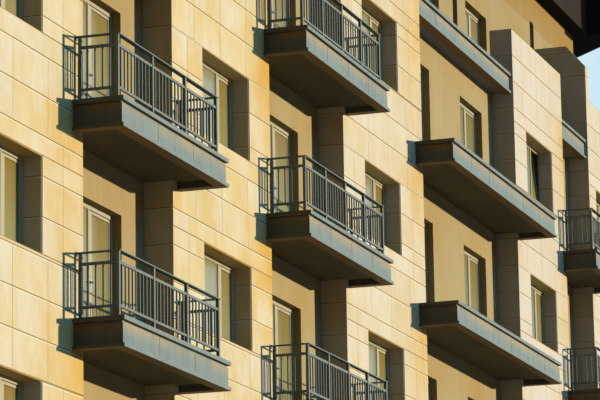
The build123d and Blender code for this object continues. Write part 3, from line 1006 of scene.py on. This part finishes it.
class BLOCK_OT_walls(bpy.types.Operator):
    """Finish the walls, floors and slabs, and add the rear sills and the slots' heads"""

    bl_idname = "block.walls"
    bl_label = "Walls and floors"

    def execute(self, context):
        for finish, nodes in WALL_FINISHES.items():
            for node in nodes:
                dress(node, finish)
        bm = bmesh.new()
        sill_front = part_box("rear_wall")[1].y + settings("block_units").sill_reach
        for low, high in solid_boxes("rear_window_frames"):
            add_box(bm, (low.x - SILL_EAR, high.y - SILL_LAP, low.z - SILL_THICKNESS),
                    (high.x + SILL_EAR, sill_front, low.z))
        make_piece("rear_sills", bm, ("sill",), LEAF_ROUNDING)
        bm = bmesh.new()
        wall_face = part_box("top_storey_wall")[0].y
        for low, high in solid_boxes("slot_panes"):
            add_slot_head(bm, low, high, wall_face)
        bmesh.ops.remove_doubles(bm, verts=bm.verts, dist=WELD)
        bmesh.ops.recalc_face_normals(bm, faces=bm.faces)
        make_piece("slot_heads", bm, ("top_render",))
        return {"FINISHED"}


# Balconies

CAP_DEPTH, LIP_DEPTH = 0.093, 0.050       # of a fascia's cap with its shadow gap, and drip lip
BOLT_SPREAD = 0.68                        # as a share of the base plate
BOLT_RADIUS, BOLT_HEIGHT = 0.008, 0.010
POST_INSET = 0.025
SIDE_PLATE = 0.075
FLANGE_LOW, FLANGE_HIGH = Vector((-0.045, -0.018, -0.050)), Vector((0.045, -0.012, 0.020))


def add_fascia_seams(bm, node):
    """Cover strips down the fronts of a node's fascias, between the cap and the drip lip."""
    trim = settings("block_trims")
    for low, high in solid_boxes(node):
        front = low.y + trim.fascia_lip
        for x in steps_between(low.x, high.x, trim.fascia_sheet):
            add_box(bm, (x - trim.seam / 2, front - trim.seam_proud, low.z + LIP_DEPTH),
                    (x + trim.seam / 2, front + trim.seam_proud, high.z - CAP_DEPTH))


class BLOCK_OT_balconies(bpy.types.Operator):
    """Finish the balcony and terrace fascias and cover their sheet joints"""

    bl_idname = "block.balconies"
    bl_label = "Balcony fascias"

    def execute(self, context):
        bm = bmesh.new()
        for node in (*(f"balcony_fascias_{number}" for number in LOGGIAS), "terrace_fascias"):
            dress(node, "sheet")
            add_fascia_seams(bm, node)
        make_piece("fascia_seams", bm, ("sheet_joint",))
        return {"FINISHED"}


def add_base_plate(bm, x, y, z):
    """Square plate with a bolt in each corner."""
    trim = settings("block_trims")
    half, top = trim.plate / 2, z + trim.plate_thickness
    add_box(bm, (x - half, y - half, z), (x + half, y + half, top))
    shift = half * BOLT_SPREAD
    for dx in (-shift, shift):
        for dy in (-shift, shift):
            spot = Vector((x + dx, y + dy, top + BOLT_HEIGHT / 2))
            add_rod(bm, spot, BOLT_RADIUS, BOLT_HEIGHT, UPWARDS, 6, 1)


class BLOCK_OT_railings(bpy.types.Operator):
    """Paint the railings and add their base plates and wall flanges"""

    bl_idname = "block.railings"
    bl_label = "Railings"

    def execute(self, context):
        pitch = settings("block_trims").post_pitch
        for node in ("railing_fronts", "railing_sides", "balusters"):
            dress(node, "railing")
        bm = bmesh.new()
        for low, high in solid_boxes("railing_fronts"):
            first, last = low.x + POST_INSET, high.x - POST_INSET
            for x in (first, *steps_between(first, last, pitch), last):
                add_base_plate(bm, x, (low.y + high.y) / 2, low.z)
        for low, high in solid_boxes("railing_sides"):
            middle = (low.x + high.x) / 2
            add_base_plate(bm, middle, high.y - SIDE_PLATE, low.z)
            wall_end = Vector((middle, high.y, high.z))
            add_box(bm, wall_end + FLANGE_LOW, wall_end + FLANGE_HIGH)
        make_piece("railing_fixings", bm, ("railing", "steel"), FIXING_ROUNDING)
        return {"FINISHED"}


# Roof

EAVES_REACH, EAVES_TUCK = 0.350, 0.010
BOARD_HEIGHT, BOARD_MARGIN = 1.0, 0.02
BOARD_SHEET = 2.0
HIP_MARGIN = 0.3
HALF_SEAM = 0.006


class BLOCK_OT_roof(bpy.types.Operator):
    """Finish the roof and add its sheet seams"""

    bl_idname = "block.roof"
    bl_label = "Roof"

    def execute(self, context):
        trim = settings("block_trims")
        dress("roof", "roof")
        low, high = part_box("roof")
        wall_low, wall_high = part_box("top_storey_wall")
        soffit = wall_high.z
        front = wall_low.y - EAVES_REACH
        edge_top = soffit + BOARD_HEIGHT
        bm = bmesh.new()
        for x in steps_between(low.x, wall_high.x, BOARD_SHEET):
            add_box(bm, (x - trim.seam / 2, front - trim.seam_proud * 2, soffit + BOARD_MARGIN),
                    (x + trim.seam / 2, front + trim.seam_proud, edge_top - BOARD_MARGIN))
        rise = high.z - edge_top
        half_span = (high.y - front) / 2
        middle = (front + high.y) / 2
        slope = math.asin((rise - trim.roof_seam) / math.hypot(half_span, rise))
        x = low.x + trim.roof_sheet / 2
        while x < high.x - HIP_MARGIN:
            length = min(half_span, high.x - x) / math.cos(slope)
            for side in (-1, 1):
                eaves = Vector((x, middle + side * (half_span - EAVES_TUCK), edge_top))
                turn = (eaves, Matrix.Rotation(-side * slope, 4, "X"))
                y0, y1 = sorted((eaves.y, eaves.y - side * length))
                add_box(bm, (x - HALF_SEAM, y0, edge_top),
                        (x + HALF_SEAM, y1, edge_top + trim.roof_seam), 0, turn)
            x += trim.roof_sheet
        make_piece("roof_seams", bm, ("roof_joint",))
        return {"FINISHED"}


# Stage

GROUND_GAP = 0.004
SENSOR_WIDTH = 36.0      # in millimetres, as the lens
VIEW_END = 1000.0
SUN_TONE, SUN_DISC = (1.0, 0.93, 0.80), 0.9
# Direction of travel, strength, tone and disc in degrees of the other lamps
FILL_LAMPS = {
    "cool_fill": ((-0.05, 0.82, -0.57), 0.92, (0.065, 0.41, 1.0), 50),
    "side_fill": ((1.0, 0.10, 0.02), 0.12, (1.0, 0.88, 0.75), 90),
    "rear_light": ((-0.30, -1.0, -0.40), 2.6, (1.0, 0.97, 0.92), 20),
}
ROOM_GLOW, BACKDROP = ((0.93, 0.96, 1.0), 0.012), ((0.62, 0.82, 0.93), 1.0)


def camera_turn():
    """Rotation of the camera from its bearing, rise and roll."""
    stage = settings("block_stage")
    return (Matrix.Rotation(-stage.camera_bearing, 4, "Z")
            @ Matrix.Rotation(math.pi / 2 + stage.camera_rise, 4, "X")
            @ Matrix.Rotation(stage.camera_roll, 4, "Z"))


def add_sun(name, run, strength, tone, disc, passed_on=False):
    """A far lamp; where passed_on is off, the surfaces that it lights don't light others."""
    lamp = bpy.data.lights.new(name, "SUN")
    lamp.energy = strength
    lamp.color = tone
    lamp.angle = math.radians(disc)
    if not passed_on:
        lamp.cycles.max_bounces = 0
    holder = add_object(name, lamp)
    holder.rotation_euler = Vector(run).to_track_quat("-Z", "Y").to_euler()


class BLOCK_OT_stage(bpy.types.Operator):
    """Set up the camera, the lights and the pale floor"""

    bl_idname = "block.stage"
    bl_label = "Stage"

    def execute(self, context):
        stage = settings("block_stage")
        context.scene.view_settings.view_transform = "Standard"
        camera = bpy.data.cameras.new("camera")
        camera.lens = stage.lens
        camera.sensor_width = SENSOR_WIDTH
        camera.clip_end = VIEW_END
        holder = add_object("camera", camera)
        holder.matrix_world = Matrix.Translation(stage.camera_place) @ camera_turn()
        context.scene.camera = holder
        passed_on = stage.sun_strength * stage.sun_passed_on
        kept = stage.sun_strength - passed_on
        add_sun("main_light", stage.sun_run, kept, SUN_TONE, SUN_DISC)
        add_sun("main_light_bounced", stage.sun_run, passed_on, SUN_TONE, SUN_DISC, True)
        for name, lamp in FILL_LAMPS.items():
            add_sun(name, *lamp)
        self.light_world(context.scene)
        self.lay_floor(stage)
        return {"FINISHED"}

    @staticmethod
    def light_world(scene):
        """Even low light from all round, and a pale background for camera, gloss and glass."""
        world = bpy.data.worlds.new("studio")
        world.use_nodes = True
        tree = world.node_tree
        tree.nodes.clear()
        rays = add_node(tree, "ShaderNodeLightPath").outputs
        seen = rays["Is Camera Ray"]
        for ray in ("Is Glossy Ray", "Is Transmission Ray"):
            either = add_node(tree, "ShaderNodeMath", operation="MAXIMUM")
            feed(either.inputs[0], seen)
            feed(either.inputs[1], rays[ray])
            seen = either.outputs[0]
        mix = add_node(tree, "ShaderNodeMixShader")
        feed(mix.inputs[0], seen)
        for socket, (tone, strength) in zip(mix.inputs[1:], (ROOM_GLOW, BACKDROP)):
            glow = add_node(tree, "ShaderNodeBackground")
            feed(glow.inputs["Color"], tone)
            feed(glow.inputs["Strength"], strength)
            feed(socket, glow.outputs[0])
        feed(add_node(tree, "ShaderNodeOutputWorld").inputs[0], mix.outputs[0])
        scene.world = world

    @staticmethod
    def lay_floor(stage):
        bm = bmesh.new()
        bmesh.ops.create_grid(bm, x_segments=4, y_segments=4, size=stage.floor_size / 2,
                              matrix=Matrix.Translation((0, 0, -GROUND_GAP)))
        floor = add_object("floor", mesh_from(bm, "floor"))
        finish = Finish("floor_pale")
        soft = finish.spread(finish.noise(0.6, 3.0), 0.3, 0.7)
        finish.surface(finish.mix(soft, FLOOR_SHADE, FLOOR_PALE), 0.9)
        floor.data.materials.append(finish.material)


class BLOCK_PT_parts(bpy.types.Panel):
    """Shows the block's settings and a button for each step"""

    bl_label = "Apartment block"
    bl_idname = "BLOCK_PT_parts"
    bl_space_type = "VIEW_3D"
    bl_region_type = "UI"
    bl_category = "Block"

    def draw(self, context):
        for group in GROUPS:
            box = self.layout.box()
            owner = getattr(context.scene, group)
            for name in owner.__annotations__:
                box.prop(owner, name)
        for operator in OPERATORS:
            self.layout.operator(operator.bl_idname)


GROUPS = {
    "block_cladding": CladdingSettings,
    "block_units": UnitSettings,
    "block_trims": TrimSettings,
    "block_finishes": FinishSettings,
    "block_stage": StageSettings,
}

OPERATORS = (
    BLOCK_OT_stage,
    BLOCK_OT_stone_panels,
    BLOCK_OT_walls,
    BLOCK_OT_window_units,
    BLOCK_OT_balconies,
    BLOCK_OT_railings,
    BLOCK_OT_roof,
)


def register():
    for kind in (*GROUPS.values(), *OPERATORS, BLOCK_PT_parts):
        bpy.utils.register_class(kind)
    for name, kind in GROUPS.items():
        setattr(bpy.types.Scene, name, PointerProperty(type=kind))


def unregister():
    for name in GROUPS:
        delattr(bpy.types.Scene, name)
    for kind in (BLOCK_PT_parts, *reversed(OPERATORS), *GROUPS.values()):
        bpy.utils.unregister_class(kind)


def main():
    register()
    for operator in OPERATORS:
        group, name = operator.bl_idname.split(".")
        getattr(getattr(bpy.ops, group), name)()


if __name__ == "__main__":
    main()
